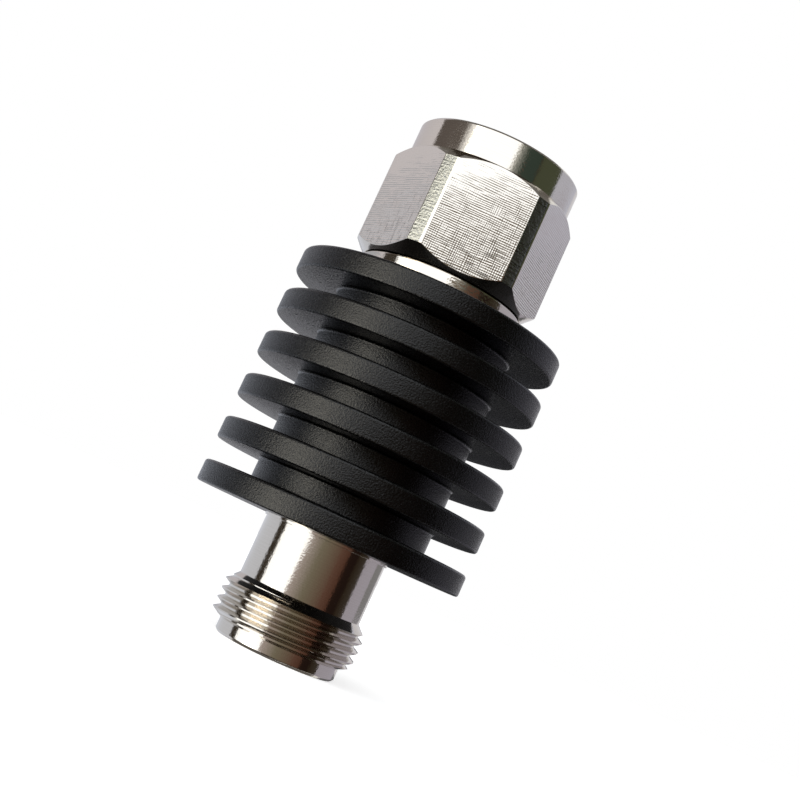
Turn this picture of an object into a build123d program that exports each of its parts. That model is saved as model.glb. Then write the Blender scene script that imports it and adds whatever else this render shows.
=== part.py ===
from build123d import *
import os

# Fixed coaxial attenuator: socket (jack) at the bottom, finned heat sink, plug with coupling nut on top.
# Millimetres. The Z axis is the line's axis, and the socket's front face stands on Z = 0.

# Fits
slip = 0.02                 # radial gap of pieces that are screwed, pressed or slid together and stay put
running_gap = 0.05          # radial gap between the barrel and the coupling nut that turns on it
end_play = 0.10             # axial gap on each side of the coupling nut's lip

# Coaxial line and interface, type N
line_outer_d = 7.0
line_inner_d = 3.04
thread_major_d = 15.8       # 5/8-24 UNEF over the crests
thread_depth = 0.53
contact_hole_d = 1.70
pin_d = 1.65
socket_d = 8.13
socket_depth = 9.10         # from the front face to the mating plane
contact_proud = 5.20        # how far the socket contact stands out of the mating plane
sleeve_d = 8.03             # the plug's outer contact, over the tips of its spread fingers
pin_shoulder_recess = 5.33  # from the mating plane back to the pin's shoulder
pin_tip_recess = 0.60       # from the mating plane back to the pin's tip

# Socket body
land_d = 13.45
land_length = 1.5
land_edge = 0.3
socket_mouth = 0.4          # chamfer at the socket's mouth
thread_length = 5.0
thread_ramp = 0.5           # axial length of the chamfer at the thread's front end
neck_d = 13.6
neck_length = 6.5
shoulder_d = 14.0
shoulder_height = 0.3
jack_spigot_d = 12.0
jack_spigot_length = 6.0

# Heat sink
fin_count = 6
fin_d = 30.0
fin_thickness = 2.4
fin_gap = 2.5
fin_edge = 0.25
root_d = 20.0
root_fillet = 0.3

# Seals: cords of round section in glands of the heat sink
jack_seal_section = 0.7
plug_seal_section = 1.1

# Plug body and coupling nut
plug_spigot_d = 14.0
collar_d = 18.4
collar_height = 2.4
collar_edge = 0.15
barrel_d = 13.4
nut_lip_length = 3.3
barrel_overhang = 0.3       # how far the barrel stands past the nut's lip
gasket_thickness = 1.5
gasket_inner_d = 9.3
gasket_outer_d = 13.2
hex_across_flats = 19.05
hex_turned_d = 21.1         # over the narrow strips between the flats
ring_d = 18.6
ring_length = 3.5
ring_edge = 0.25
ring_step = 0.15            # from the ring out to the foot of the hexagon's chamfer
nut_overhang = 1.5          # from the mating plane to the nut's front face
nut_turn = 4.3              # degrees from the view's front flat, as the nut is left in the photograph
nut_chamber_relief = 0.25   # radial room over the thread's crests
nut_chamber_length = 3.2
nut_mouth = 0.8

# Snap ring
snap_section = 0.8          # axial thickness
snap_stand = 0.6            # how far the ring stands out of the barrel
snap_slot = 2.0             # the ring's open gap
snap_from_collar = 1.6
body_groove_depth = 0.7
snap_side_play = 0.1        # axial play of the ring in the barrel's groove
snap_floor_gap = 0.05       # radial gap under the ring
snap_roof_gap = 0.2         # radial gap over the ring, in the nut's groove

# Insulating beads and contacts
bead_length = 4.0
bead_d = 8.2
bead_relief_depth = 0.6     # ring-shaped recess in each end of a bead
bead_relief_inner_d = 4.4
bead_relief_outer_d = 6.8
jack_line_step = 2.5        # from the mating plane to the socket's bead
contact_neck_d = 2.1        # the contact where it passes through a bead
contact_hole_depth = 4.6
contact_slots = 4
contact_slot_turn = 45.0    # degrees
contact_slot = 0.25
contact_slot_length = 3.6
contact_tip = 0.25
tail_pin_d = 0.9
tail_pin_length = 2.9
pin_nose_length = 0.8
pin_nose_d = 0.7
sleeve_rear_d = 7.9         # behind the slots
sleeve_flange_d = 9.0
sleeve_flange_length = 5.0
sleeve_slots = 6
sleeve_slot_turn = 15.0     # degrees
sleeve_slot_width = 0.3
sleeve_slot_length = 6.0
sleeve_edge = 0.12

# Chip, its carrier and the tails that reach it
carrier_d = 10.96
carrier_length = 14.0
chip_width = 6.4
chip_length = 9.5
chip_thickness = 1.0
channel_width = 4.8
channel_depth = 2.0
tail_bore_d = 4.14          # outer wall of the line around a tail
tail_d = 1.8
tail_flange_d = 2.6
tail_flange_thickness = 0.4
tail_reach = 0.7            # how far the round part of a tail runs into the carrier
tab_width = 1.2
tab_thickness = 0.2
tab_lap = 1.05              # how far the tab lies on the chip's pad
spring_height = 0.6
spring_thickness = 0.3
spring_outer_d = 10.8
spring_inner_d = 6.2

# Heights along the axis, worked out from the sizes above
thread_start = land_length
thread_end = thread_start + thread_length
contact_tip_z = socket_depth - contact_proud
sink_bottom = thread_end + neck_length + shoulder_height
fin_pitch = fin_thickness + fin_gap
sink_top = sink_bottom + fin_count * fin_pitch - fin_gap
jack_spigot_end = sink_bottom + jack_spigot_length
carrier_top = jack_spigot_end + carrier_length
plug_spigot_end = carrier_top + spring_height
chip_low = jack_spigot_end + (carrier_length - chip_length) / 2
chip_high = chip_low + chip_length
collar_top = sink_top + collar_height
nut_rear = collar_top + end_play
lip_front = nut_rear + nut_lip_length
barrel_top = lip_front + barrel_overhang
gasket_top = barrel_top + gasket_thickness
mating_plane = gasket_top + socket_depth
nut_front = mating_plane + nut_overhang
pin_shoulder_z = mating_plane - pin_shoulder_recess
pin_tip_z = mating_plane - pin_tip_recess
snap_low = collar_top + snap_from_collar
jack_bead_front = socket_depth + jack_line_step
jack_bead_back = jack_bead_front + bead_length
plug_bead_front = barrel_top - sleeve_flange_length
plug_bead_back = plug_bead_front - bead_length

# Radii used in many places
line_outer_r = line_outer_d / 2
line_inner_r = line_inner_d / 2
thread_r = thread_major_d / 2
thread_minor_r = thread_r - thread_depth
barrel_r = barrel_d / 2
body_groove_r = barrel_r - body_groove_depth
snap_inner_r = body_groove_r + snap_floor_gap
snap_outer_r = barrel_r + snap_stand
nut_groove_r = snap_outer_r + snap_roof_gap
sleeve_r = sleeve_d / 2
tail_bore_r = tail_bore_d / 2
hex_r = hex_turned_d / 2


def turned(section):
    """Solid of revolution about the Z axis, from a half section drawn in radius and height."""
    return revolve(Plane.XZ * section, axis=Axis.Z)


def band(inner_d, outer_d, low, high):
    """Half section of a plain ring between two diameters and two heights."""
    inner_r, outer_r = inner_d / 2, outer_d / 2
    centre = Pos((inner_r + outer_r) / 2, (low + high) / 2)
    return centre * Rectangle(outer_r - inner_r, high - low)


def outline(*points):
    """Half section bounded by straight runs between (radius, height) points."""
    return make_face(Polyline(*points, close=True))


def heat_sink():
    """Six fins on a root cylinder, bored through, with a seal gland at each end."""
    section = band(0, root_d, sink_bottom, sink_top)
    for index in range(fin_count):
        low = sink_bottom + index * fin_pitch
        section += band(0, fin_d, low, low + fin_thickness)
    rims = section.vertices().filter_by(lambda v: abs(v.X - fin_d / 2) < slip)
    section = chamfer(rims, fin_edge)
    roots = section.vertices().filter_by(lambda v: abs(v.X - root_d / 2) < slip)
    section = fillet(roots, root_fillet)
    section -= band(0, carrier_d + 2 * slip, sink_bottom, sink_top)
    section -= band(0, jack_spigot_d + 2 * slip, sink_bottom, jack_spigot_end)
    section -= band(0, plug_spigot_d + 2 * slip, plug_spigot_end, sink_top)
    jack_gland_d = jack_spigot_d + 2 * (jack_seal_section + 2 * slip)
    plug_gland_d = plug_spigot_d + 2 * (plug_seal_section + 2 * slip)
    section -= band(0, jack_gland_d, sink_bottom, sink_bottom + jack_seal_section + slip)
    section -= band(0, plug_gland_d, sink_top - plug_seal_section - slip, sink_top)
    return turned(section)


def jack_body():
    """Socket body: land, thread with a 45 degree cone to the neck, shoulder, and the sink's spigot."""
    land_r, neck_r, shoulder_r = land_d / 2, neck_d / 2, shoulder_d / 2
    socket_r, spigot_r = socket_d / 2, jack_spigot_d / 2
    bead_r = bead_d / 2 + slip
    return turned(outline(
        (socket_r + socket_mouth, 0),
        (land_r - land_edge, 0),
        (land_r, land_edge),
        (land_r, thread_start),
        (thread_r, thread_start + thread_ramp),
        (thread_r, thread_end - (thread_r - neck_r)),
        (neck_r, thread_end),
        (neck_r, sink_bottom - shoulder_height),
        (shoulder_r, sink_bottom - shoulder_height),
        (shoulder_r, sink_bottom),
        (spigot_r, sink_bottom),
        (spigot_r, jack_spigot_end),
        (bead_r, jack_spigot_end),
        (bead_r, jack_bead_front),
        (line_outer_r, jack_bead_front),
        (line_outer_r, socket_depth),
        (socket_r, socket_depth),
        (socket_r, socket_mouth),
    ))


def plug_body():
    """Plug body: spigot, collar, and the barrel that carries the coupling nut."""
    spigot_r, collar_r = plug_spigot_d / 2, collar_d / 2
    flange_r, bead_r = sleeve_flange_d / 2 + slip, bead_d / 2 + slip
    groove_high = snap_low + snap_section + snap_side_play
    return turned(outline(
        (tail_bore_r, plug_spigot_end),
        (spigot_r, plug_spigot_end),
        (spigot_r, sink_top),
        (collar_r - collar_edge, sink_top),
        (collar_r, sink_top + collar_edge),
        (collar_r, collar_top - collar_edge),
        (collar_r - collar_edge, collar_top),
        (barrel_r, collar_top),
        (barrel_r, snap_low),
        (body_groove_r, snap_low),
        (body_groove_r, groove_high),
        (barrel_r, groove_high),
        (barrel_r, barrel_top),
        (flange_r, barrel_top),
        (flange_r, plug_bead_front),
        (bead_r, plug_bead_front),
        (bead_r, plug_bead_back),
        (tail_bore_r, plug_bead_back),
    ))


def hexagon_blank():
    """Turned blank of the coupling nut: 45 degree chamfers at both ends of the hexagon, then the ring."""
    rear_r, ring_r = collar_d / 2, ring_d / 2
    foot_r = ring_r + ring_step
    ring_base = nut_front - ring_length
    return turned(outline(
        (0, nut_rear),
        (rear_r, nut_rear),
        (hex_r, nut_rear + hex_r - rear_r),
        (hex_r, ring_base - (hex_r - foot_r)),
        (foot_r, ring_base),
        (ring_r, ring_base),
        (ring_r, nut_front - ring_edge),
        (ring_r - ring_edge, nut_front),
        (0, nut_front),
    ))


def coupling_nut():
    """Hexagonal coupling nut: flats on the turned blank, lip, ring groove, chamber and thread bore."""
    ring_base = nut_front - ring_length
    hexagon = RegularPolygon(hex_across_flats / 2, 6, major_radius=False, rotation=nut_turn)
    flats = Pos(0, 0, nut_rear) * extrude(hexagon, amount=ring_base - nut_rear)
    ring_zone = Pos(0, 0, ring_base) * extrude(Circle(hex_r), amount=ring_length)
    nut = hexagon_blank() & (flats + ring_zone)
    bore_r = barrel_r + running_gap
    chamber_r = thread_r + nut_chamber_relief
    groove_low = snap_low - end_play
    groove_high = snap_low + snap_section + end_play
    chamber_top = lip_front + nut_chamber_length
    return nut - turned(outline(
        (0, nut_rear),
        (bore_r, nut_rear),
        (bore_r, groove_low),
        (nut_groove_r, groove_low),
        (nut_groove_r, groove_high),
        (bore_r, groove_high),
        (bore_r, lip_front),
        (chamber_r, lip_front),
        (chamber_r, chamber_top),
        (thread_minor_r, chamber_top),
        (thread_minor_r, nut_front - nut_mouth),
        (thread_minor_r + nut_mouth, nut_front),
        (0, nut_front),
    ))


def nut_snap_ring():
    """Split ring in the barrel's groove that keeps the coupling nut on."""
    ring = turned(band(2 * snap_inner_r, 2 * snap_outer_r, snap_low, snap_low + snap_section))
    middle = Pos(snap_outer_r, 0, snap_low + snap_section / 2)
    return ring - middle * Box(2 * snap_outer_r, snap_slot, 2 * snap_section)


def plug_gasket():
    """Flat silicone ring on the barrel's front face, around the outer contact."""
    return turned(band(gasket_inner_d, gasket_outer_d, barrel_top, gasket_top))


def seal(spigot_d, section_d, centre_z):
    """Rubber seal of round section around a spigot."""
    return Pos(0, 0, centre_z) * Torus(spigot_d / 2 + slip + section_d / 2, section_d / 2)


def bead(low):
    """Insulating bead with a ring-shaped recess in each end."""
    high = low + bead_length
    section = band(contact_neck_d + 2 * slip, bead_d, low, high)
    for start in (low, high - bead_relief_depth):
        section -= band(bead_relief_inner_d, bead_relief_outer_d, start, start + bead_relief_depth)
    return turned(section)


def slots(count, turn, width, reach, low, high):
    """Radial saw cuts around the axis, the first one turned from +X, as a tool body to subtract."""
    height = high - low
    blade = Pos(reach / 2, 0, (low + high) / 2) * Box(reach, width, height)
    step = 360 / count
    return Part() + [Rot(0, 0, turn + index * step) * blade for index in range(count)]


def jack_contact():
    """Socket contact: slotted front end, neck through the bead, and a thin tail pin."""
    hole_r, neck_r, tail_r = contact_hole_d / 2, contact_neck_d / 2, tail_pin_d / 2
    hole_end = contact_tip_z + contact_hole_depth
    contact = turned(outline(
        (hole_r, contact_tip_z),
        (line_inner_r - contact_tip, contact_tip_z),
        (line_inner_r, contact_tip_z + contact_tip),
        (line_inner_r, jack_bead_front),
        (neck_r, jack_bead_front),
        (neck_r, jack_bead_back),
        (tail_r, jack_bead_back),
        (tail_r, jack_bead_back + tail_pin_length),
        (0, jack_bead_back + tail_pin_length),
        (0, hole_end),
        (hole_r, hole_end),
    ))
    low, high = contact_tip_z - slip, contact_tip_z + contact_slot_length
    return contact - slots(contact_slots, contact_slot_turn, contact_slot, line_inner_d, low, high)


def plug_pin():
    """Pin contact: tapered nose, pin, shoulder, neck through the bead, and a thin tail pin."""
    neck_r, tail_r = contact_neck_d / 2, tail_pin_d / 2
    return turned(outline(
        (0, plug_bead_back - tail_pin_length),
        (tail_r, plug_bead_back - tail_pin_length),
        (tail_r, plug_bead_back),
        (neck_r, plug_bead_back),
        (neck_r, plug_bead_front),
        (line_inner_r, plug_bead_front),
        (line_inner_r, pin_shoulder_z),
        (pin_d / 2, pin_shoulder_z),
        (pin_d / 2, pin_tip_z - pin_nose_length),
        (pin_nose_d / 2, pin_tip_z),
        (0, pin_tip_z),
    ))


def plug_outer_contact():
    """Sleeve with a flange that sits in the plug body, and in front a ring of slightly spread fingers."""
    flange_r, rear_r = sleeve_flange_d / 2, sleeve_rear_d / 2
    slot_start = mating_plane - sleeve_slot_length
    sleeve = turned(outline(
        (line_outer_r, plug_bead_front),
        (flange_r, plug_bead_front),
        (flange_r, barrel_top),
        (rear_r, barrel_top),
        (rear_r, slot_start),
        (sleeve_r, mating_plane - sleeve_edge),
        (sleeve_r - sleeve_edge, mating_plane),
        (line_outer_r, mating_plane),
    ))
    slot_end = mating_plane + slip
    return sleeve - slots(sleeve_slots, sleeve_slot_turn, sleeve_slot_width, sleeve_d, slot_start, slot_end)


def jack_clamp_ring():
    """Ring behind the socket's bead that clamps it and makes the outer wall around the tail."""
    return turned(band(tail_bore_d, bead_d, jack_bead_back, jack_spigot_end))


def tail(bead_face, carrier_face, chip_end):
    """Tail on a contact: flange, round part over the tail pin, and a flat tab that lies on the chip."""
    way = 1 if carrier_face > bead_face else -1
    end = carrier_face + way * tail_reach
    bore_end = bead_face + way * (tail_pin_length + slip)
    flange = bead_face + way * tail_flange_thickness
    bore_r, body_r, flange_r = tail_pin_d / 2 + slip, tail_d / 2, tail_flange_d / 2
    round_part = turned(outline(
        (bore_r, bead_face),
        (flange_r, bead_face),
        (flange_r, flange),
        (body_r, flange),
        (body_r, end),
        (0, end),
        (0, bore_end),
        (bore_r, bore_end),
    ))
    tab_end = chip_end + way * tab_lap
    tab_root = end - way * tab_thickness
    tab_centre = Pos(0, -tab_thickness / 2, (tab_root + tab_end) / 2)
    return round_part + tab_centre * Box(tab_width, tab_thickness, abs(tab_end - tab_root))


def attenuator_chip():
    """Ceramic plate with the printed resistor on its front face."""
    middle = Pos(0, chip_thickness / 2, (chip_low + chip_high) / 2)
    return middle * Box(chip_width, chip_thickness, chip_length)


def carrier_half(side):
    """Half of the round carrier; side is 1 for the half behind the chip and -1 for the half before it."""
    end_length = (carrier_length - chip_length) / 2
    upright = Align.CENTER, Align.CENTER, Align.MIN
    round_bar = Cylinder(carrier_d / 2, carrier_length, align=upright)
    half_space = Pos(0, side * carrier_d / 2, 0) * Box(carrier_d, carrier_d, carrier_length, align=upright)
    half = Pos(0, 0, jack_spigot_end) * (round_bar & half_space)
    for low in (jack_spigot_end, chip_high):
        half -= Pos(0, 0, low) * Cylinder(tail_bore_r, end_length, align=upright)
    return half


def chip_carrier_back():
    """Carrier half with the pocket that the chip lies in."""
    middle = Pos(0, chip_thickness / 2, (chip_low + chip_high) / 2)
    return carrier_half(1) - middle * Box(chip_width + 2 * slip, chip_thickness, chip_length + 2 * slip)


def chip_carrier_front():
    """Carrier half with the channel over the resistor."""
    middle = Pos(0, -channel_depth / 2, (chip_low + chip_high) / 2)
    return carrier_half(-1) - middle * Box(channel_width, channel_depth, chip_length)


def ground_disc_spring():
    """Conical disc spring between the carrier and the plug body's spigot."""
    inner_r, outer_r = spring_inner_d / 2, spring_outer_d / 2
    return turned(outline(
        (inner_r, plug_spigot_end - spring_thickness),
        (outer_r, carrier_top),
        (outer_r, carrier_top + spring_thickness),
        (inner_r, plug_spigot_end),
    ))


nodes = {
    "heat_sink": heat_sink(),
    "jack_body": jack_body(),
    "jack_contact": jack_contact(),
    "jack_insulator": bead(jack_bead_front),
    "jack_clamp_ring": jack_clamp_ring(),
    "jack_tail": tail(jack_bead_back, jack_spigot_end, chip_low),
    "jack_seal": seal(jack_spigot_d, jack_seal_section, sink_bottom + jack_seal_section / 2),
    "plug_body": plug_body(),
    "plug_outer_contact": plug_outer_contact(),
    "plug_pin": plug_pin(),
    "plug_insulator": bead(plug_bead_back),
    "plug_tail": tail(plug_bead_back, carrier_top, chip_high),
    "plug_seal": seal(plug_spigot_d, plug_seal_section, sink_top - plug_seal_section / 2),
    "plug_gasket": plug_gasket(),
    "coupling_nut": coupling_nut(),
    "nut_snap_ring": nut_snap_ring(),
    "attenuator_chip": attenuator_chip(),
    "chip_carrier_back": chip_carrier_back(),
    "chip_carrier_front": chip_carrier_front(),
    "ground_disc_spring": ground_disc_spring(),
}

os.makedirs("parts", exist_ok=True)
for name, solid in nodes.items():
    export_step(solid, f"parts/{name}.step")
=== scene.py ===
"""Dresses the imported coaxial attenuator: its finned heat sink, threaded socket, plug and coupling nut.

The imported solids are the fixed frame. Pieces that show are modelled again here with rounded edges and
real threads, on the same sizes, and the pieces inside keep their solids and get a finish. The
object's sizes are in millimetres, the studio's and Blender's own are in metres.
"""

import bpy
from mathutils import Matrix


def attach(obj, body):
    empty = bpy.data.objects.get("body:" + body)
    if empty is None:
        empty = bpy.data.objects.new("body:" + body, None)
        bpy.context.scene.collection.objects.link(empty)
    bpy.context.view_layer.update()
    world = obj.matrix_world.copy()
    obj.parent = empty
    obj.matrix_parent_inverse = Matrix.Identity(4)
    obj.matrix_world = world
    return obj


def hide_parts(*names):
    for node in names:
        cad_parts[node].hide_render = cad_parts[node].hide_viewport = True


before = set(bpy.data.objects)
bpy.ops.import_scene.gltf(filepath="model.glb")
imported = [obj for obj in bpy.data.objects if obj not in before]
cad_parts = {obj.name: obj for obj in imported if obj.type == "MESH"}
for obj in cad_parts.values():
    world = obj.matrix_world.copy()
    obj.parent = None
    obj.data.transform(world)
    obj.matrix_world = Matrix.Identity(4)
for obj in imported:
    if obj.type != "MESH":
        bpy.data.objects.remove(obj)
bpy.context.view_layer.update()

import logging
import math
from collections.abc import Callable, Sequence
from dataclasses import dataclass, field
from enum import Enum

import bpy
from mathutils import Matrix, Vector

LOG = logging.getLogger("attenuator")
MM = 0.001
WELD = 1e-7                 # metres; vertices nearer than this are one
FOUND = 10 * WELD           # metres; a vertex nearer than this to a drawn corner is that corner
FINE_STEPS = 192            # faces round a piece that shows
PLAIN_STEPS = 96            # faces round a small piece, or in one turn of a thread
EASE_STEPS = 4              # faces across a rounded corner
CARD_STEPS = 48             # faces round the ball that a studio card is cut from
FADE_RISE = 20.0            # degrees up a studio card to where its fade ends
NARROW = (0.35, 0.65)       # the values of a noise that are spread over the whole range of a look
WIDE = (0.3, 0.7)           # the same, for a gentler change

Colour = tuple[float, float, float]
Stop = tuple[float, ...]    # radius, height and, where the corner is rounded, its ease
Value = bpy.types.NodeSocket | float | Sequence[float]


class Rides(Enum):
    """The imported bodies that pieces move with."""

    BODY = "body"
    NUT = "nut"


class Slot(Enum):
    """The record's material slots, one passed with each new piece."""

    ANODISED = "anodised"
    NICKEL = "nickel"
    NUT_NICKEL = "nut_nickel"
    GOLD = "gold"
    BRONZE = "bronze"
    PTFE = "ptfe"
    SILICONE = "silicone"


class Seen(Enum):
    """Which rays a studio card is there for."""

    BY_GLOSS = "gloss"
    BY_ALL_BUT_CAMERA = "gloss and diffuse"


class Bench:
    """Blender's own modelling tools, each used on one mesh at a time."""

    @staticmethod
    def take(obj: bpy.types.Object) -> None:
        """Makes one object the only selected one, and the active one.

        Args:
            obj: The object.
        """
        bpy.ops.object.select_all(action="DESELECT")
        obj.select_set(True)
        bpy.context.view_layer.objects.active = obj

    @classmethod
    def open(cls, obj: bpy.types.Object, kind: str = "VERT") -> None:
        """Opens a mesh in edit mode with all of it selected.

        Args:
            obj: The mesh object to edit.
            kind: The select mode, VERT, EDGE or FACE.
        """
        cls.take(obj)
        bpy.ops.object.mode_set(mode="EDIT")
        bpy.ops.mesh.select_mode(type=kind)
        bpy.ops.mesh.select_all(action="SELECT")

    @staticmethod
    def shut() -> None:
        """Goes back to object mode."""
        bpy.ops.object.mode_set(mode="OBJECT")

    @classmethod
    def pick(cls, obj: bpy.types.Object, parts: str, test: Callable[[object], bool]) -> None:
        """Opens a mesh in edit mode with only the parts that pass a test selected.

        Args:
            obj: The mesh object to edit.
            parts: Which parts are tested: vertices, edges or polygons.
            test: Says of one part whether it is wanted.
        """
        kinds = {"vertices": "VERT", "edges": "EDGE", "polygons": "FACE"}
        cls.open(obj, kinds[parts])
        bpy.ops.mesh.select_all(action="DESELECT")
        cls.shut()
        for part in getattr(obj.data, parts):
            part.select = test(part)
        bpy.ops.object.mode_set(mode="EDIT")

    @classmethod
    def draw(cls, name: str, stops: Sequence[Stop], closed: bool = True) -> bpy.types.Object:
        """Draws a half section as a wire in the XZ plane and rounds its corners.

        Args:
            name: The new object's name.
            stops: The section's corners, each a radius, a height and perhaps an ease.
            closed: Whether the last corner is joined to the first. A section that ends on the axis isn't.

        Returns:
            The wire's object.
        """
        bpy.ops.object.select_all(action="DESELECT")
        radius, height = stops[0][:2]
        bpy.ops.mesh.primitive_plane_add(size=MM, location=(radius * MM, 0, height * MM))
        wire = bpy.context.object
        wire.name = wire.data.name = name
        bpy.ops.object.transform_apply(location=True, rotation=True, scale=True)
        cls.open(wire)
        bpy.ops.mesh.merge(type="CENTER")
        following = [*stops[1:], stops[0]] if closed else stops[1:]
        for here, there in zip(stops, following):
            step = ((there[0] - here[0]) * MM, 0, (there[1] - here[1]) * MM)
            bpy.ops.mesh.extrude_vertices_move(TRANSFORM_OT_translate={"value": step})
        bpy.ops.mesh.select_all(action="SELECT")
        bpy.ops.mesh.remove_doubles(threshold=WELD)
        cls.shut()
        eased = [stop for stop in stops if len(stop) > 2]
        for ease in sorted({stop[2] for stop in eased}):
            corners = [Vector((stop[0] * MM, 0, stop[1] * MM)) for stop in eased if stop[2] == ease]
            cls.pick(wire, "vertices", lambda v: any((v.co - c).length < FOUND for c in corners))
            bpy.ops.mesh.bevel(affect="VERTICES", offset_type="OFFSET", offset=ease * MM,
                               segments=EASE_STEPS)
            cls.shut()
        return wire

    @classmethod
    def turn(cls, name: str, stops: Sequence[Stop], closed: bool = True,
             steps: int = FINE_STEPS) -> bpy.types.Object:
        """Turns a half section round the Z axis, as on a lathe.

        Args:
            name: The new object's name.
            stops: The section's corners, as for draw.
            closed: Whether the section is a closed loop.
            steps: The number of faces round the axis.

        Returns:
            The turned solid.
        """
        solid = cls.draw(name, stops, closed)
        cls.open(solid)
        bpy.ops.mesh.spin(steps=steps, angle=math.tau, center=(0, 0, 0), axis=(0, 0, 1))
        cls.weld()
        return solid

    @classmethod
    def weld(cls) -> None:
        """Merges the open mesh's doubles, turns its faces outwards and goes back to object mode."""
        bpy.ops.mesh.select_all(action="SELECT")
        bpy.ops.mesh.remove_doubles(threshold=WELD)
        bpy.ops.mesh.normals_make_consistent(inside=False)
        cls.shut()

    @classmethod
    def coil(cls, stops: Sequence[Stop], pitch: float, turns: int) -> bpy.types.Object:
        """Winds a closed section up the Z axis as a right-hand screw thread.

        Args:
            stops: The section's corners at the thread's start.
            pitch: The rise of one turn.
            turns: The number of turns.

        Returns:
            The closed coil.
        """
        coil = cls.draw("thread_tool", stops)
        cls.modify(coil, "SCREW", axis="Z", angle=math.tau, screw_offset=pitch * MM, iterations=turns,
                   steps=PLAIN_STEPS, render_steps=PLAIN_STEPS)
        cls.open(coil)
        bpy.ops.mesh.fill_holes(sides=0)
        cls.weld()
        return coil

    @classmethod
    def modify(cls, obj: bpy.types.Object, kind: str, **settings: object) -> None:
        """Adds one modifier to an object, sets it and applies it.

        Args:
            obj: The object to change.
            kind: The modifier's type.
            **settings: The modifier's properties.
        """
        cls.take(obj)
        bpy.ops.object.modifier_add(type=kind)
        modifier = obj.modifiers[-1]
        for key, value in settings.items():
            setattr(modifier, key, value)
        bpy.ops.object.modifier_apply(modifier=modifier.name)

    @classmethod
    def cut(cls, piece: bpy.types.Object, tool: bpy.types.Object) -> None:
        """Cuts a tool mesh away from a piece, and removes the tool."""
        cls.modify(piece, "BOOLEAN", operation="DIFFERENCE", solver="EXACT", object=tool)
        bpy.data.objects.remove(tool)

    @classmethod
    def smooth(cls, obj: bpy.types.Object, sharp: float) -> None:
        """Shades a piece smooth, with each large face kept flat up to its edges.

        Args:
            obj: The piece.
            sharp: The angle in degrees from which an edge stays sharp.
        """
        cls.take(obj)
        bpy.ops.object.shade_smooth_by_angle(angle=math.radians(sharp))
        cls.modify(obj, "WEIGHTED_NORMAL", keep_sharp=True)


@dataclass(frozen=True)
class ScrewThread:
    """A 60 degree screw thread, cut as one groove into the outside or the inside of a cylinder."""

    face_r: float           # the cylinder's radius
    groove_r: float         # the radius of the groove's bottom
    bottom: float           # half the width of the groove's bottom
    start: float            # the height of the groove's middle where the cut starts
    turns: int
    clear: float            # how far the tool stands out of the cylinder's face; below 0 is inwards
    pitch: float = 1.0583
    flank: float = math.tan(math.radians(30))

    def cut(self, piece: bpy.types.Object) -> None:
        """Cuts the thread.

        Args:
            piece: The piece with the cylinder.
        """
        mouth = self.bottom + abs(self.face_r - self.groove_r) * self.flank
        clear_r = self.face_r + self.clear
        corners = ((self.groove_r, -self.bottom), (self.face_r, -mouth), (clear_r, -mouth),
                   (clear_r, mouth), (self.face_r, mouth), (self.groove_r, self.bottom))
        section = [(radius, self.start + rise) for radius, rise in corners]
        Bench.cut(piece, Bench.coil(section, self.pitch, self.turns))


@dataclass(frozen=True)
class SawCuts:
    """Slots sawn right across a round piece, which leave its fingers."""

    width: float
    reach: float                # the blade's length across the piece
    span: tuple[float, float]   # the heights where a slot starts and ends
    turns: tuple[float, ...]    # each slot's turn from the X axis, in degrees

    def cut(self, piece: bpy.types.Object) -> None:
        """Saws the slots.

        Args:
            piece: The round piece.
        """
        low, high = self.span
        for turn in self.turns:
            bpy.ops.object.select_all(action="DESELECT")
            bpy.ops.mesh.primitive_cube_add(
                size=MM, location=(0, 0, (low + high) / 2 * MM), rotation=(0, 0, math.radians(turn)),
                scale=(self.reach, self.width, high - low))
            blade = bpy.context.object
            bpy.ops.object.transform_apply(location=True, rotation=True, scale=True)
            Bench.cut(piece, blade)


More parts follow.
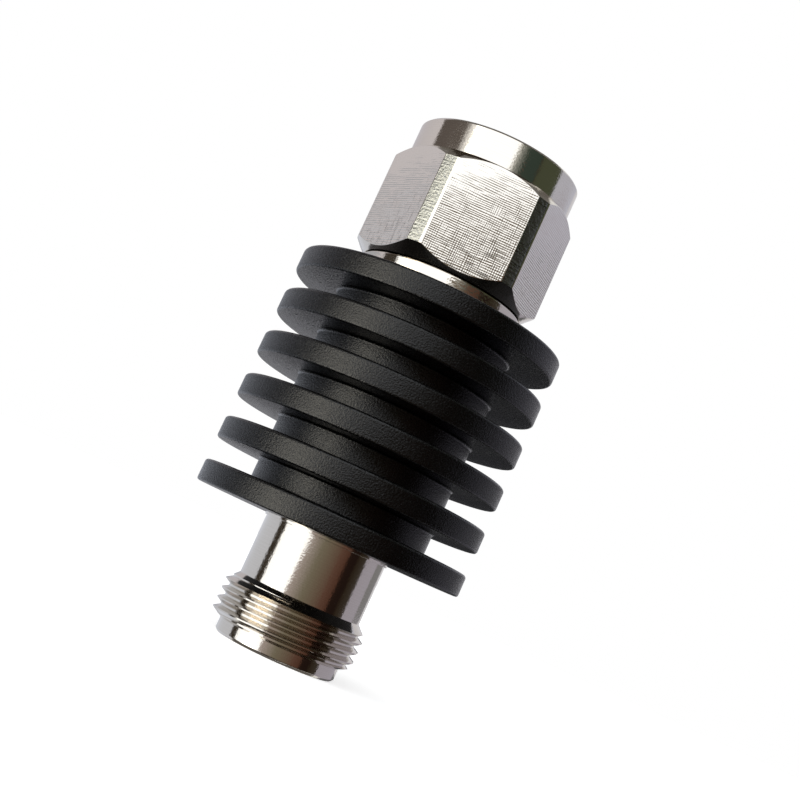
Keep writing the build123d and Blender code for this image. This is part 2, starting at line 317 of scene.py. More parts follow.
class Graph:
    """One material's node tree, with short calls for the nodes that the finishes share."""

    def __init__(self, name: str) -> None:
        """Makes an empty material.

        Args:
            name: The material's name.
        """
        self.material = bpy.data.materials.new(name)
        self.material.use_nodes = True
        self.tree = self.material.node_tree
        self.tree.nodes.clear()
        self.place = self.add("ShaderNodeTexCoord").outputs["Object"]

    def add(self, kind: str, sockets: dict[str | int, Value] | None = None,
            **settings: object) -> bpy.types.Node:
        """Adds a node, sets its properties and sets or links its inputs.

        Args:
            kind: The node's type.
            sockets: Values or links, by the input's name or number.
            **settings: The node's properties.

        Returns:
            The new node.
        """
        node = self.tree.nodes.new(kind)
        for key, value in settings.items():
            setattr(node, key, value)
        for key, value in (sockets or {}).items():
            if isinstance(value, bpy.types.NodeSocket):
                self.tree.links.new(value, node.inputs[key])
            else:
                node.inputs[key].default_value = value
        return node

    def math(self, operation: str, *values: Value) -> bpy.types.NodeSocket:
        """Works out one number from others."""
        return self.add("ShaderNodeMath", dict(enumerate(values)), operation=operation).outputs[0]

    def vector(self, operation: str, *values: Value) -> bpy.types.NodeSocket:
        """Works out a vector, or a number where the operation gives one."""
        node = self.add("ShaderNodeVectorMath", dict(enumerate(values)), operation=operation)
        return node.outputs["Value" if operation in ("DOT_PRODUCT", "LENGTH") else "Vector"]

    def noise(self, size: float, detail: float = 2.0, place: Value | None = None) -> bpy.types.NodeSocket:
        """Gives solid noise.

        Args:
            size: The grain's size in millimetres.
            detail: How many finer layers it has.
            place: Where it is read; the place on the piece if left out.

        Returns:
            A socket from 0 to 1.
        """
        place = self.place if place is None else place
        sockets = {"Vector": place, "Scale": 1 / (size * MM), "Detail": detail}
        return self.add("ShaderNodeTexNoise", sockets).outputs["Fac"]

    def lines(self, along: bpy.types.NodeSocket, size: float, detail: float = 2.0) -> bpy.types.NodeSocket:
        """Gives noise that changes only along one coordinate, as tool marks do.

        Args:
            along: The coordinate across the lines, in metres.
            size: The lines' spacing in millimetres.
            detail: How many finer layers it has.

        Returns:
            A socket from 0 to 1.
        """
        sockets = {"W": along, "Scale": 1 / (size * MM), "Detail": detail}
        return self.add("ShaderNodeTexNoise", sockets, noise_dimensions="1D").outputs["Fac"]

    def span(self, value: Value, low: float, high: float, start: float = 0.0,
             end: float = 1.0) -> bpy.types.NodeSocket:
        """Maps a value that runs from start to end onto low to high."""
        sockets = {"Value": value, "From Min": start, "From Max": end, "To Min": low, "To Max": high}
        return self.add("ShaderNodeMapRange", sockets).outputs["Result"]

    def tint(self, amount: Value, first: Value, second: Value) -> bpy.types.NodeSocket:
        """Mixes two colours.

        Args:
            amount: How much of the second there is, from 0 to 1.
            first: The colour at 0.
            second: The colour at 1.

        Returns:
            The mixed colour.
        """
        node = self.add("ShaderNodeMix", data_type="RGBA")
        colour_inputs = node.inputs[0], node.inputs[6], node.inputs[7]
        for socket, value in zip(colour_inputs, (amount, first, second)):
            if isinstance(value, bpy.types.NodeSocket):
                self.tree.links.new(value, socket)
            else:
                socket.default_value = (*value, 1.0) if isinstance(value, tuple) else value
        return node.outputs[2]

    def bump(self, height: Value, depth: float,
             over: bpy.types.NodeSocket | None = None) -> bpy.types.NodeSocket:
        """Tilts the shading by a height from 0 to 1.

        Args:
            height: The height socket.
            depth: How deep 1 is, in millimetres.
            over: A normal that this bump lies on.

        Returns:
            The tilted normal.
        """
        sockets = {"Height": height, "Strength": 1.0, "Distance": depth * MM}
        if over is not None:
            sockets["Normal"] = over
        return self.add("ShaderNodeBump", sockets).outputs["Normal"]

    def finish(self, sockets: dict[str, Value]) -> bpy.types.Material:
        """Ends the tree in a Principled surface.

        Args:
            sockets: Values or links for the surface's inputs.

        Returns:
            The finished material.
        """
        shader = self.add("ShaderNodeBsdfPrincipled", sockets)
        self.add("ShaderNodeOutputMaterial", {"Surface": shader.outputs[0]})
        return self.material

    def lathe(self) -> bpy.types.NodeSocket:
        """Gives height plus radius, which crosses tool marks on turned cylinders, cones and faces alike.

        Returns:
            The sum, in metres.
        """
        apart = self.add("ShaderNodeSeparateXYZ", {"Vector": self.place}).outputs
        radius = self.vector("LENGTH", self.vector("MULTIPLY", self.place, (1.0, 1.0, 0.0)))
        return self.math("ADD", apart["Z"], radius)


@dataclass(frozen=True)
class BlackAnodising:
    """Black anodised aluminium with a fine blasted grain."""

    dark: Colour = (0.0003, 0.0003, 0.0004)
    light: Colour = (0.0012, 0.0012, 0.0014)
    roughness: tuple[float, float] = (0.22, 0.30)
    ior: float = 1.40
    grain: float = 0.17
    depth: float = 0.055
    mottle: float = 14.0        # the size of the mottle's clouds, in grains

    def build(self) -> bpy.types.Material:
        """Makes the material.

        Returns:
            The finished material.
        """
        graph = Graph("black_anodising")
        grain = graph.noise(self.grain, detail=3.0)
        cloud = graph.noise(self.mottle * self.grain)
        return graph.finish({
            "Base Color": graph.tint(graph.span(cloud, 0.0, 1.0, *NARROW), self.dark, self.light),
            "Roughness": graph.span(grain, *self.roughness, *NARROW),
            "IOR": self.ior,
            "Normal": graph.bump(grain, self.depth),
        })


@dataclass(frozen=True)
class TurnedPlate:
    """Plated metal turned on a lathe, with fine rings of tool marks."""

    name: str
    dark: Colour
    light: Colour
    roughness: tuple[float, float] = (0.06, 0.12)
    anisotropy: float = 0.6
    marks: float = 0.09
    depth: float = 0.0008
    dent: float = 0.008         # the depth of the shallow dents below the marks
    dent_size: float = 0.25
    cloud_size: float = 1.2
    wear: tuple[float, float] = (0.1, 0.45)     # the values of marks times clouds that change the gloss

    def build(self) -> bpy.types.Material:
        """Makes the material.

        Returns:
            The finished material.
        """
        graph = Graph(self.name)
        marks = graph.lines(graph.lathe(), self.marks, detail=3.0)
        cloud = graph.noise(self.cloud_size, detail=3.0)
        dents = graph.bump(graph.noise(self.dent_size), self.dent)
        return graph.finish({
            "Base Color": graph.tint(graph.span(marks, 0.0, 1.0, *WIDE), self.dark, self.light),
            "Metallic": 1.0,
            "Roughness": graph.span(graph.math("MULTIPLY", marks, cloud), *self.roughness, *self.wear),
            "Anisotropic": self.anisotropy,
            "Tangent": graph.add("ShaderNodeTangent", direction_type="RADIAL", axis="Z").outputs[0],
            "Normal": graph.bump(marks, self.depth, dents),
        })


@dataclass(frozen=True)
class MilledPlate:
    """Plated metal with the crossing lines that a milling cutter leaves on a hexagon's flats."""

    name: str
    dark: Colour
    light: Colour
    roughness: tuple[float, float] = (0.10, 0.17)
    pitch: float = 0.24
    lean: float = -0.02             # how much the rows slope
    ranks_share: float = 0.42       # how strong the upright lines are, where the rows are 1
    depth: float = 0.0100
    growth: tuple[float, float] = (0.15, 1.65)      # how strong the lines are at the top and the foot
    middle: float = 49.5            # the height of the flats' middle
    reach: float = 4.5              # how far above and below it the lines go on growing
    skew: float = 0.4               # how much they grow across the flat too
    wander: float = 1.8             # how many lines' widths a line wanders
    wander_size: float = 1.2
    patch_size: float = 0.34
    patch_share: tuple[float, float] = (0.1, 1.2)   # how strong the lines are in and out of the patches
    patch_edge: tuple[float, float] = (0.36, 0.64)
    patch_squeeze: float = 0.2      # the patches are longer along the lines, by one over this
    row_shift: float = 0.02         # how far apart in the noise the flats read their rows' patches
    rank_shift: float = 0.03        # and their upright lines' patches

    def comb(self, graph: Graph, along: bpy.types.NodeSocket, weave: bpy.types.NodeSocket,
             share: float) -> bpy.types.NodeSocket:
        """Draws even lines that wander a little and fade out in patches.

        Args:
            graph: The material's node tree.
            along: The coordinate across the lines, in metres.
            weave: Where the patches are read.
            share: How strong the lines are.

        Returns:
            A socket from about minus share to share.
        """
        faint, strong = self.patch_share
        wander = graph.span(graph.noise(self.wander_size, 3.0, weave), 0.0, self.wander)
        turns = graph.math("MULTIPLY_ADD", along, 1 / (self.pitch * MM), wander)
        wave = graph.math("SINE", graph.math("MULTIPLY", turns, math.tau))
        patches = graph.span(graph.noise(self.patch_size, 3.0, weave), faint * share, strong * share,
                             *self.patch_edge)
        return graph.math("MULTIPLY", wave, patches)

    def build(self) -> bpy.types.Material:
        """Makes the material.

        Returns:
            The finished material.
        """
        graph = Graph(self.name)
        facing = graph.add("ShaderNodeTexCoord").outputs["Normal"]
        across = graph.vector("CROSS_PRODUCT", (0.0, 0.0, 1.0), facing)
        width = graph.vector("DOT_PRODUCT", graph.place, across)
        height = graph.add("ShaderNodeSeparateXYZ", {"Vector": graph.place}).outputs["Z"]
        side = graph.add("ShaderNodeSeparateXYZ", {"Vector": facing}).outputs["X"]
        sloped = graph.math("MULTIPLY_ADD", width, self.lean, height)
        rows = graph.add("ShaderNodeCombineXYZ", {
            "X": graph.math("MULTIPLY", width, self.patch_squeeze),
            "Y": sloped,
            "Z": graph.math("MULTIPLY", side, self.row_shift),
        }).outputs[0]
        ranks = graph.add("ShaderNodeCombineXYZ", {
            "X": width,
            "Y": graph.math("MULTIPLY", sloped, self.patch_squeeze),
            "Z": graph.math("MULTIPLY", side, self.rank_shift),
        }).outputs[0]
        below = graph.math("MULTIPLY_ADD", width, self.skew, graph.math("SUBTRACT", self.middle * MM, height))
        growth = graph.span(below, *self.growth, -self.reach * MM, self.reach * MM)
        cross = graph.math("ADD", self.comb(graph, sloped, rows, 1.0),
                           self.comb(graph, width, ranks, self.ranks_share))
        cuts = graph.math("MULTIPLY", cross, growth)
        return graph.finish({
            "Base Color": graph.tint(graph.span(cuts, 0.0, 1.0, -1.0, 1.0), self.dark, self.light),
            "Metallic": 1.0,
            "Roughness": graph.span(growth, *self.roughness),
            "Normal": graph.bump(cuts, self.depth),
        })


@dataclass(frozen=True)
class Moulded:
    """Plastic, rubber or fired ceramic: dull, with a soft mottle and a fine grain."""

    name: str
    dark: Colour
    light: Colour
    roughness: tuple[float, float] = (0.45, 0.60)
    ior: float = 1.45
    grain: float = 0.12
    depth: float = 0.004
    subsurface: float = 0.0
    scatter: float = 0.4        # how far light goes in
    mottle: float = 8.0         # the size of the mottle's clouds, in grains

    def build(self) -> bpy.types.Material:
        """Makes the material.

        Returns:
            The finished material.
        """
        graph = Graph(self.name)
        grain = graph.noise(self.grain, detail=3.0)
        cloud = graph.noise(self.mottle * self.grain)
        return graph.finish({
            "Base Color": graph.tint(graph.span(cloud, 0.0, 1.0, *WIDE), self.dark, self.light),
            "Roughness": graph.span(grain, *self.roughness, *WIDE),
            "IOR": self.ior,
            "Subsurface Weight": self.subsurface,
            "Subsurface Scale": self.scatter * MM,
            "Normal": graph.bump(grain, self.depth),
        })


class Finishes:
    """Every material of the object, made once."""

    def __init__(self) -> None:
        """Builds the materials."""
        self.anodising = BlackAnodising().build()
        self.nickel = TurnedPlate("turned_nickel", (0.60, 0.56, 0.50), (0.65, 0.61, 0.55)).build()
        self.milled = MilledPlate("milled_nickel", (0.63, 0.594, 0.542), (0.65, 0.614, 0.56)).build()
        self.drawn = TurnedPlate("drawn_nickel", (0.20, 0.205, 0.19), (0.32, 0.325, 0.31), (0.25, 0.34),
                                 anisotropy=0.0, marks=0.20, depth=0.018, dent=0.05).build()
        self.gold = TurnedPlate("gold_plate", (0.80, 0.56, 0.24), (0.86, 0.64, 0.32)).build()
        self.bronze = TurnedPlate("white_bronze", (0.62, 0.56, 0.48), (0.69, 0.63, 0.55)).build()
        self.silver = TurnedPlate("silver_plate", (0.77, 0.75, 0.72), (0.84, 0.82, 0.79), (0.2, 0.3)).build()
        self.spring = TurnedPlate("bright_spring_steel", (0.40, 0.39, 0.37), (0.48, 0.47, 0.45),
                                  (0.25, 0.35)).build()
        self.ptfe = Moulded("white_fluoroplastic", (0.80, 0.80, 0.77), (0.87, 0.87, 0.85), ior=1.35,
                            subsurface=0.3).build()
        self.silicone = Moulded("red_silicone", (0.47, 0.075, 0.045), (0.60, 0.115, 0.07), ior=1.41).build()
        self.nitrile = Moulded("black_rubber", (0.015, 0.015, 0.015), (0.026, 0.026, 0.025), ior=1.52).build()
        self.alumina = Moulded("fired_alumina", (0.80, 0.80, 0.76), (0.88, 0.88, 0.85), (0.35, 0.5),
                               ior=1.76).build()


def settle(piece: bpy.types.Object, node: str, body: Rides, slot: Slot, *materials: bpy.types.Material,
           sharp: float = 30.0) -> None:
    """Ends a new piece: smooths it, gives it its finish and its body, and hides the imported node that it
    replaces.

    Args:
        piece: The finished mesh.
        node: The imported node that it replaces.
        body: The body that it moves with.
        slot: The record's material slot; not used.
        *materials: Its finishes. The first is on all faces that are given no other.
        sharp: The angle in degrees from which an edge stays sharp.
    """
    Bench.smooth(piece, sharp)
    for material in materials:
        piece.data.materials.append(material)
    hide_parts(node)
    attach(piece, body.value)
    LOG.info("%s stands for %s on %s, %d faces", piece.name, node, body.value, len(piece.data.polygons))


def dress(material: bpy.types.Material, *nodes: str) -> None:
    """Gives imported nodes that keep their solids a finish.

    Args:
        material: The finish.
        *nodes: The nodes' names.
    """
    for node in nodes:
        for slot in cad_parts[node].material_slots:
            slot.material = material
        LOG.info("%s keeps its solid and gets %s", node, material.name)


@dataclass
class FinnedSink:
    """The black heat sink: round fins on a root cylinder, bored through."""

    count: int = 6
    low: float = 13.3
    rim_r: float = 15.0
    root_r: float = 10.0
    thickness: float = 2.4
    gap: float = 2.5
    rim_ease_low: float = 0.25
    rim_ease_high: float = 0.35
    root_ease: float = 0.3
    bore: tuple[Stop, ...] = ((8.14, 40.2, 0.1), (8.14, 39.08), (7.02, 39.08), (7.02, 33.9), (5.5, 33.9),
                              (5.5, 19.3), (6.02, 19.3), (6.02, 14.02), (6.74, 14.02), (6.74, 13.3, 0.1))

    def section(self) -> list[Stop]:
        """Gives the half section's corners.

        Returns:
            The fins' corners and then the bore's.
        """
        stops: list[Stop] = []
        for index in range(self.count):
            low = self.low + index * (self.thickness + self.gap)
            high = low + self.thickness
            if index:
                stops.append((self.root_r, low, self.root_ease))
            stops += [(self.rim_r, low, self.rim_ease_low), (self.rim_r, high, self.rim_ease_high)]
            if index < self.count - 1:
                stops.append((self.root_r, high, self.root_ease))
        return [*stops, *self.bore]

    def build(self, finishes: Finishes) -> None:
        """Turns the heat sink and dresses it and its two seals.

        Args:
            finishes: The object's materials.
        """
        sink = Bench.turn("finned_sink", self.section())
        settle(sink, "heat_sink", Rides.BODY, Slot.ANODISED, finishes.anodising)
        dress(finishes.nitrile, "jack_seal", "plug_seal")


@dataclass(frozen=True)
class Bead:
    """An insulating bead with a ring-shaped recess in each end."""

    name: str
    node: str
    low: float
    length: float = 4.0
    inner_r: float = 1.07
    outer_r: float = 4.1
    relief: tuple[float, float, float] = (2.2, 3.4, 0.6)    # the recess's two radii and its depth
    ease: float = 0.06

    def build(self, finishes: Finishes) -> None:
        """Turns the bead.

        Args:
            finishes: The object's materials.
        """
        near, far, deep = self.relief
        low, high, ease = self.low, self.low + self.length, self.ease
        bead = Bench.turn(self.name, [
            (self.inner_r, low), (near, low, ease), (near, low + deep, ease), (far, low + deep, ease),
            (far, low, ease), (self.outer_r, low, ease), (self.outer_r, high, ease), (far, high, ease),
            (far, high - deep, ease), (near, high - deep, ease), (near, high, ease), (self.inner_r, high),
        ], steps=PLAIN_STEPS)
        settle(bead, self.node, Rides.BODY, Slot.PTFE, finishes.ptfe)


@dataclass
class Socket:
    """The socket end: a threaded shell, the slotted contact, and what holds them."""

    shell: tuple[Stop, ...] = (
        (4.465, 0.0, 0.03), (6.425, 0.0, 0.06), (6.725, 0.3, 0.06), (6.725, 1.5), (7.9, 2.0), (7.9, 5.4),
        (6.8, 6.5), (6.8, 13.0), (7.0, 13.0, 0.05), (7.0, 13.3), (6.0, 13.3), (6.0, 19.3), (4.12, 19.3),
        (4.12, 11.6), (3.5, 11.6), (3.5, 9.1, 0.05), (4.065, 9.1), (4.065, 0.4, 0.03))
    contact: tuple[Stop, ...] = (
        (0.0, 8.5), (0.85, 8.5), (0.85, 3.9, 0.08), (1.27, 3.9, 0.05), (1.52, 4.15, 0.05), (1.52, 11.6),
        (1.05, 11.6), (1.05, 15.6), (0.45, 15.6), (0.45, 18.5, 0.08), (0.0, 18.5))
    thread: ScrewThread = ScrewThread(face_r=7.9, groove_r=7.27, bottom=0.10, start=-1.0, turns=9, clear=0.5)
    slots: SawCuts = SawCuts(width=0.25, reach=4.0, span=(3.8, 7.5), turns=(45.0, 135.0))
    bead: Bead = Bead("socket_bead", "jack_insulator", low=11.6)

    def build(self, finishes: Finishes) -> None:
        """Turns and threads the shell, turns and slots the contact, and dresses what is behind.

        Args:
            finishes: The object's materials.
        """
        shell = Bench.turn("socket_shell", self.shell)
        self.thread.cut(shell)
        settle(shell, "jack_body", Rides.BODY, Slot.NICKEL, finishes.nickel)
        contact = Bench.turn("socket_contact", self.contact, closed=False, steps=PLAIN_STEPS)
        self.slots.cut(contact)
        settle(contact, "jack_contact", Rides.BODY, Slot.GOLD, finishes.gold)
        self.bead.build(finishes)
        dress(finishes.nickel, "jack_clamp_ring")
        dress(finishes.gold, "jack_tail")


@dataclass
class Plug:
    """The plug end: the body with its collar and barrel, the slotted sleeve, the pin and the gasket."""

    shell: tuple[Stop, ...] = (
        (2.07, 33.9), (7.0, 33.9), (7.0, 40.2), (9.05, 40.2, 0.03), (9.2, 40.35, 0.06), (9.2, 42.45, 0.06),
        (9.05, 42.6, 0.03), (6.7, 42.6), (6.7, 44.2), (6.0, 44.2), (6.0, 45.1), (6.7, 45.1),
        (6.7, 46.3, 0.05), (4.52, 46.3, 0.05), (4.52, 41.3), (4.12, 41.3), (4.12, 37.3), (2.07, 37.3))
    sleeve: tuple[Stop, ...] = (
        (3.5, 41.3), (4.5, 41.3), (4.5, 46.3, 0.05), (3.95, 46.3), (3.95, 50.9), (4.015, 56.78, 0.05),
        (3.895, 56.9, 0.04), (3.5, 56.9, 0.05))
    pin: tuple[Stop, ...] = (
        (0.0, 34.4), (0.45, 34.4, 0.08), (0.45, 37.3), (1.05, 37.3), (1.05, 41.3), (1.52, 41.3),
        (1.52, 51.57, 0.06), (0.825, 51.57), (0.825, 55.5, 0.3), (0.35, 56.3, 0.12), (0.0, 56.3))
    gasket: tuple[Stop, ...] = (
        (4.65, 46.3, 0.1), (6.6, 46.3, 0.1), (6.6, 47.8, 0.25), (4.65, 47.8, 0.25))
    slots: SawCuts = SawCuts(width=0.3, reach=10.0, span=(50.9, 57.2), turns=(15.0, 75.0, 135.0))
    bead: Bead = Bead("plug_bead", "plug_insulator", low=37.3)

    def build(self, finishes: Finishes) -> None:
        """Turns the plug's pieces, slots the sleeve and dresses what is behind.

        Args:
            finishes: The object's materials.
        """
        shell = Bench.turn("plug_shell", self.shell)
        settle(shell, "plug_body", Rides.BODY, Slot.NICKEL, finishes.nickel)
        sleeve = Bench.turn("plug_sleeve", self.sleeve)
        self.slots.cut(sleeve)
        settle(sleeve, "plug_outer_contact", Rides.BODY, Slot.BRONZE, finishes.bronze)
        pin = Bench.turn("centre_pin", self.pin, closed=False, steps=PLAIN_STEPS)
        settle(pin, "plug_pin", Rides.BODY, Slot.GOLD, finishes.gold)
        gasket = Bench.turn("face_gasket", self.gasket)
        settle(gasket, "plug_gasket", Rides.BODY, Slot.SILICONE, finishes.silicone)
        self.bead.build(finishes)
        dress(finishes.gold, "plug_tail")


@dataclass
class CouplingNut:
    """The coupling nut: six milled flats on a turned blank, a ring in front and a thread inside."""

    turn: float = 4.3
    apothem: float = 9.525
    flat_count: int = 6
    blank: tuple[Stop, ...] = (
        (6.75, 42.7), (9.2, 42.7), (10.55, 44.05), (10.55, 53.8), (9.45, 54.9), (9.3, 54.9, 0.03),
        (9.3, 58.15, 0.05), (9.05, 58.4, 0.05), (8.17, 58.4), (7.37, 57.6), (7.37, 49.2), (8.15, 49.2),
        (8.15, 46.0), (6.75, 46.0), (6.75, 45.1), (7.5, 45.1), (7.5, 44.1), (6.75, 44.1))
    thread: ScrewThread = ScrewThread(face_r=7.37, groove_r=7.95, bottom=0.08, start=47.6, turns=12,
                                      clear=-0.3)
    edge_ease: float = 0.045
    edge_steps: int = 2
    sharp: float = 20.0
    flat_cosine: float = 0.9999     # a face lies in a flat if its normal is this near to the flat's
    flat_slack: float = 0.005       # and its middle is no farther than this from the flat
    corner_slack: float = 0.001     # a face lies on the blank's corner if it is this near to it

    def mill_flats(self, nut: bpy.types.Object) -> None:
        """Cuts the six flats and softens their edges.

        Args:
            nut: The turned and threaded blank.
        """
        for facing in self.facings():
            Bench.open(nut)
            bpy.ops.mesh.bisect(plane_co=facing * self.apothem * MM, plane_no=facing, use_fill=True,
                                clear_outer=True, threshold=WELD)
            Bench.shut()
        Bench.open(nut)
        Bench.weld()
        Bench.pick(nut, "edges", lambda edge: self.is_border(nut, edge))
        bpy.ops.mesh.bevel(offset=self.edge_ease * MM, segments=self.edge_steps)
        Bench.weld()

    def is_border(self, nut: bpy.types.Object, edge: bpy.types.MeshEdge) -> bool:
        """Says whether an edge bounds one of the flats, each of which is a single face when it is cut."""
        ends = [nut.data.vertices[index].co for index in edge.vertices]
        return any(all(abs(end.dot(way) - self.apothem * MM) < WELD for end in ends)
                   for way in self.facings())

    def facings(self) -> list[Vector]:
        """Gives the directions that the flats face."""
        angles = [math.radians(self.turn + (index + 0.5) * 360 / self.flat_count)
                  for index in range(self.flat_count)]
        return [Vector((math.cos(angle), math.sin(angle), 0)) for angle in angles]

    def finish_of(self, nut: bpy.types.Object, face: bpy.types.MeshPolygon) -> int:
        """Says which of the nut's finishes a face has.

        Args:
            nut: The milled nut.
            face: One of its faces.

        Returns:
            1 on the milled flats, 2 on the blank's corners between them, else 0.
        """
        for way in self.facings():
            off_flat = abs(face.center.dot(way) - self.apothem * MM)
            if face.normal.dot(way) > self.flat_cosine and off_flat < self.flat_slack * MM:
                return 1
        corner_r = max(stop[0] for stop in self.blank)
        radii = [nut.data.vertices[index].co.xy.length for index in face.vertices]
        return 2 if min(radii) > (corner_r - self.corner_slack) * MM else 0

    def build(self, finishes: Finishes) -> None:
        """Turns the blank, threads the bore, mills the flats and dresses the nut and its snap ring.

        Args:
            finishes: The object's materials.
        """
        nut = Bench.turn("hex_coupling_nut", self.blank)
        self.thread.cut(nut)
        self.mill_flats(nut)
        settle(nut, "coupling_nut", Rides.NUT, Slot.NUT_NICKEL, finishes.nickel, finishes.milled,
               finishes.drawn, sharp=self.sharp)
        for face in nut.data.polygons:
            face.material_index = self.finish_of(nut, face)
        dress(finishes.spring, "nut_snap_ring")


@dataclass
class ChipStack:
    """The attenuating chip and what carries it, which keep their solids."""

    chip: str = "attenuator_chip"
    carriers: tuple[str, ...] = ("chip_carrier_back", "chip_carrier_front")
    spring: str = "ground_disc_spring"

    def build(self, finishes: Finishes) -> None:
        """Dresses the chip, its two carriers and the disc spring.

        Args:
            finishes: The object's materials.
        """
        dress(finishes.alumina, self.chip)
        dress(finishes.silver, *self.carriers)
        dress(finishes.spring, self.spring)


@dataclass(frozen=True)
class Card:
    """A glowing card of the studio, cut from a ball round the object, that the metal reflects.

    Its corners are pairs of azimuth and elevation in degrees; azimuth 0 is the camera's side and 90 the
    right of the picture. A card on a smaller ball stands before one on a larger ball.
    """

    name: str
    corners: tuple[tuple[float, float], ...]
    colour: Colour
    ball: float
    seen: Seen = Seen.BY_GLOSS
    fade: float = 1.0                   # the share of its glow that is left FADE_RISE up
    turned_to: Colour | None = None     # the colour at its right edge, where that is another

    def build(self, centre: Vector) -> None:
        """Cuts the card out of its ball and makes it glow.

        Args:
            centre: The ball's middle.
        """
        bpy.ops.object.select_all(action="DESELECT")
        bpy.ops.mesh.primitive_uv_sphere_add(segments=CARD_STEPS, ring_count=CARD_STEPS // 2,
                                             radius=self.ball, location=(0, 0, 0))
        card = bpy.context.object
        card.name = card.data.name = self.name
        ways = [self.way(azimuth, elevation) for azimuth, elevation in self.corners]
        middle = sum(ways, Vector((0, 0, 0)))
        for first, second in zip(ways, ways[1:] + ways[:1]):
            inwards = first.cross(second)
            inwards *= math.copysign(1, inwards.dot(middle))
            Bench.open(card)
            bpy.ops.mesh.bisect(plane_co=(0, 0, 0), plane_no=inwards, clear_inner=True)
            Bench.shut()
        card.location = centre
        card.visible_camera = card.visible_shadow = False
        card.visible_diffuse = self.seen is Seen.BY_ALL_BUT_CAMERA
        graph = Graph(self.name)
        place = graph.add("ShaderNodeSeparateXYZ", {"Vector": graph.place}).outputs
        rise = self.ball * math.sin(math.radians(FADE_RISE))
        strength = graph.span(place["Z"], 1.0, self.fade, 0.0, rise)
        azimuth = graph.math("ARCTAN2", place["X"], graph.math("MULTIPLY", place["Y"], -1.0))
        start, end = (math.radians(corner[0]) for corner in self.corners[:2])
        across = graph.span(azimuth, 0.0, 1.0, start, end)
        colour = graph.tint(across, self.colour, self.turned_to or self.colour)
        glow = graph.add("ShaderNodeEmission", {"Color": colour, "Strength": strength})
        graph.add("ShaderNodeOutputMaterial", {"Surface": glow.outputs[0]})
        card.data.materials.append(graph.material)

    @staticmethod
    def way(azimuth: float, elevation: float) -> Vector:
        """Gives the direction from the object to a place on the ball."""
        across, up = math.radians(azimuth), math.radians(elevation)
        return Vector((math.sin(across) * math.cos(up), -math.cos(across) * math.cos(up), math.sin(up)))


def strip(start: float, end: float, low: float = -89.0,
          high: float = 89.0) -> tuple[tuple[float, float], ...]:
    """Gives the corners of a card between two azimuths and two elevations."""
    return (start, low), (end, low), (end, high), (start, high)


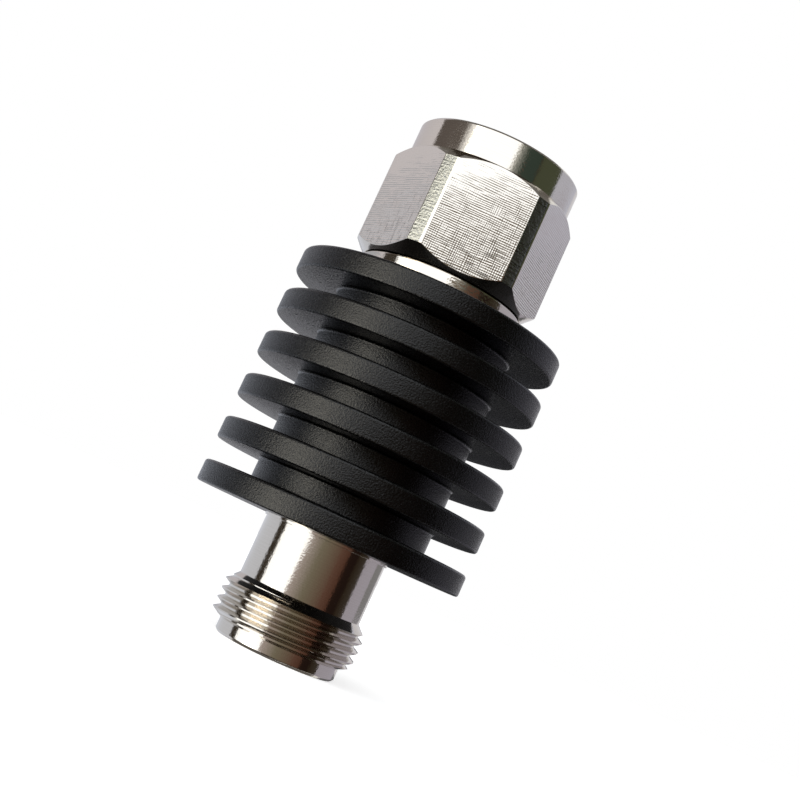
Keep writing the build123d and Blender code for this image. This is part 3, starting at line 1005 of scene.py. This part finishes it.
@dataclass
class Studio:
    """The floor, the white surroundings and the cards that stand round the object."""

    centre: Vector = field(default_factory=lambda: Vector((0, 0, 0.03)))
    soft_white: Colour = (1.78, 1.83, 1.90)
    hot_white: Colour = (6.7, 6.35, 5.5)
    diffuse_level: float = 0.5
    floor_size: float = 3.0
    floor_colour: Colour = (0.9, 0.9, 0.9)
    floor_lift: float = 0.62        # a glow that only the camera sees, which whitens the paper

    def cards(self) -> list[Card]:
        """Gives the cards, the ones at the back first.

        Returns:
            The dark curtains, the grey wings at the sides, the boards of the picture's right half and
            the bright boxes of its left half.
        """
        return [
            Card("curtain_left", strip(-98, -5), (0.05, 0.04, 0.03), 1.9),
            Card("curtain_right", strip(-5, 88), (0.05, 0.04, 0.028), 1.9),
            Card("left_wing_low", strip(-169, -95, -38, 8), (0.735, 0.77, 0.86), 1.85),
            Card("left_wing_high", strip(-180, -98, 8, 38), (0.56, 0.54, 0.58), 1.85,
                 turned_to=(0.83, 0.80, 0.85)),
            Card("left_wing_mid", strip(-169, -93, 1.5, 11), (0.515, 0.54, 0.60), 1.84),
            Card("right_wing_mid", strip(89, 158, 1.5, 11), (0.11, 0.107, 0.125), 1.84,
                 turned_to=(0.47, 0.46, 0.49)),
            Card("right_wing_shelf", strip(88, 147, 9.5, 16.3), (0.52, 0.505, 0.585), 1.83),
            Card("right_wing_low", strip(88, 147, -38, 15), (0.46, 0.44, 0.52), 1.85),
            Card("right_wing_high", strip(88, 147, 15, 38), (0.62, 0.635, 0.745), 1.85),
            Card("right_wing_back", strip(147, 171, -6, 38), (0.75, 0.74, 0.78), 1.85),
            Card("right_wing_foot", strip(147, 171, -38, -6), (0.16, 0.16, 0.17), 1.85),
            Card("far_post_right", strip(171, 180, -38, 8), (0.05, 0.05, 0.055), 1.85),
            Card("far_post_left", strip(-180, -169, -5, 8), (0.48, 0.48, 0.52), 1.85),
            Card("far_foot_left", strip(-180, -169, -38, -5), (0.55, 0.55, 0.58), 1.85),
            Card("cellar_left", strip(-180, -98, -89, -38), (0.16, 0.15, 0.14), 1.85),
            Card("cellar_right", strip(98, 180, -89, -38), (0.16, 0.15, 0.14), 1.85),
            Card("attic_left", strip(-180, -98, 38, 89), (0.22, 0.21, 0.20), 1.85),
            Card("attic_right", strip(98, 180, 38, 89), (0.22, 0.21, 0.20), 1.85),
            Card("warm_board", strip(-30, 0, -40, 14), (0.54, 0.465, 0.45), 1.8,
                 turned_to=(0.225, 0.20, 0.145)),
            Card("brown_board", strip(0, 33, -40, 18), (0.225, 0.20, 0.145), 1.8,
                 turned_to=(0.15, 0.09, 0.065)),
            Card("red_board", strip(33, 50, -40, 14), (0.145, 0.078, 0.056), 1.8,
                 turned_to=(0.10, 0.045, 0.03)),
            Card("green_board", strip(30, 52, 14, 50), (0.045, 0.065, 0.052), 1.8),
            Card("black_board", strip(50, 68, -40, 14), (0.022, 0.012, 0.009), 1.8,
                 turned_to=(0.018, 0.01, 0.008)),
            Card("olive_board_low", strip(68, 88, -40, 14), (0.03, 0.02, 0.012), 1.8,
                 turned_to=(0.06, 0.05, 0.04)),
            Card("olive_board_high", strip(54, 89.5, 14, 50), (0.08, 0.09, 0.055), 1.8),
            Card("right_band", strip(121, 151, -3, 4), (0.27, 0.27, 0.285), 1.8),
            Card("grey_board", strip(10, 30, 13, 50), (0.62, 0.61, 0.58), 1.78, turned_to=(0.08, 0.10, 0.08)),
            Card("soft_edge", strip(5, 21, 17, 50), (1.75, 1.75, 1.72), 1.75, turned_to=(0.5, 0.51, 0.47)),
            Card("softbox_low", strip(-80, -28.5, -50, -1), self.soft_white, 1.7),
            Card("softbox", ((-80, -1), (-27, -1), (6.5, 12.5), (16, 18), (25, 55), (-40, 55)),
                 self.soft_white, 1.7, Seen.BY_ALL_BUT_CAMERA),
            Card("softbox_core", strip(-64, -38, -40, 24), self.hot_white, 1.68, fade=0.55),
            Card("core_veil", strip(-64, -38, -8, -1.8), self.soft_white, 1.66),
            Card("flag_edge", strip(-61, -47, 15, 40), (0.14, 0.12, 0.11), 1.65, turned_to=(1.6, 1.6, 1.6)),
            Card("flag", strip(-101, -61, 15, 40), (0.14, 0.12, 0.11), 1.6),
        ]

    def lay_floor(self) -> None:
        """Lays a white floor that keeps the object's shadow and doesn't show in the metal."""
        bpy.ops.object.select_all(action="DESELECT")
        bpy.ops.mesh.primitive_plane_add(size=self.floor_size, location=(0, 0, 0))
        floor = bpy.context.object
        floor.name = floor.data.name = "floor"
        floor.visible_glossy = False
        graph = Graph("floor_paper")
        sight = graph.add("ShaderNodeLightPath").outputs["Is Camera Ray"]
        paper = graph.add("ShaderNodeBsdfDiffuse", {"Color": (*self.floor_colour, 1.0)})
        strength = graph.math("MULTIPLY", sight, self.floor_lift)
        lift = graph.add("ShaderNodeEmission", {"Color": (1.0, 1.0, 1.0, 1.0), "Strength": strength})
        both = graph.add("ShaderNodeAddShader", {0: paper.outputs[0], 1: lift.outputs[0]})
        graph.add("ShaderNodeOutputMaterial", {"Surface": both.outputs[0]})
        floor.data.materials.append(graph.material)

    def light_world(self) -> None:
        """Makes the surroundings white to the eye and in gloss, and a plain level of light otherwise."""
        world = bpy.data.worlds.new("white_studio")
        world.use_nodes = True
        nodes, links = world.node_tree.nodes, world.node_tree.links
        sight = nodes.new("ShaderNodeLightPath").outputs
        seen = sight["Is Camera Ray"]
        for ray in ("Is Glossy Ray", "Is Transmission Ray"):
            either = nodes.new("ShaderNodeMath")
            either.operation = "MAXIMUM"
            links.new(seen, either.inputs[0])
            links.new(sight[ray], either.inputs[1])
            seen = either.outputs[0]
        level = nodes.new("ShaderNodeMapRange")
        level.inputs["To Min"].default_value = self.diffuse_level
        links.new(seen, level.inputs["Value"])
        background = nodes["Background"]
        background.inputs["Color"].default_value = (1.0, 1.0, 1.0, 1.0)
        links.new(level.outputs["Result"], background.inputs["Strength"])
        bpy.context.scene.world = world

    def build(self) -> None:
        """Lays the floor, lights the world and hangs the cards."""
        bpy.context.scene.view_settings.view_transform = "Standard"
        self.lay_floor()
        self.light_world()
        for card in self.cards():
            card.build(self.centre)
        LOG.info("studio has %d cards", len(self.cards()))


@dataclass
class Viewpoint:
    """The camera at the photograph's viewing angle."""

    place: tuple[float, float, float] = (0.0, -141.24, 11.85)
    yaw: float = 0.0067
    pitch: float = 0.1269
    roll: float = 0.4286
    lens: float = 59.966
    sensor: float = 36.0
    clip: tuple[float, float] = (0.01, 10.0)        # in metres

    def build(self) -> None:
        """Makes the camera and turns it; yaw and pitch say where it looks and roll tilts the picture."""
        level = math.cos(self.pitch)
        ahead = Vector((math.sin(self.yaw) * level, math.cos(self.yaw) * level, math.sin(self.pitch)))
        right = Vector((math.cos(self.yaw), -math.sin(self.yaw), 0))
        up = right.cross(ahead)
        side = right * math.cos(self.roll) + up * math.sin(self.roll)
        top = up * math.cos(self.roll) - right * math.sin(self.roll)
        turn = Matrix((side, top, -ahead)).transposed().to_4x4()
        data = bpy.data.cameras.new("viewpoint")
        data.lens, data.sensor_width = self.lens, self.sensor
        data.clip_start, data.clip_end = self.clip
        camera = bpy.data.objects.new("viewpoint", data)
        camera.matrix_world = Matrix.Translation(Vector(self.place) * MM) @ turn
        bpy.context.scene.collection.objects.link(camera)
        bpy.context.scene.camera = camera


def main() -> None:
    """Builds the pieces, the studio and the camera in order."""
    logging.basicConfig(level=logging.INFO, format="%(name)s: %(message)s")
    finishes = Finishes()
    FinnedSink().build(finishes)
    Socket().build(finishes)
    Plug().build(finishes)
    CouplingNut().build(finishes)
    ChipStack().build(finishes)
    Studio().build()
    Viewpoint().build()


if __name__ == "__main__":
    main()
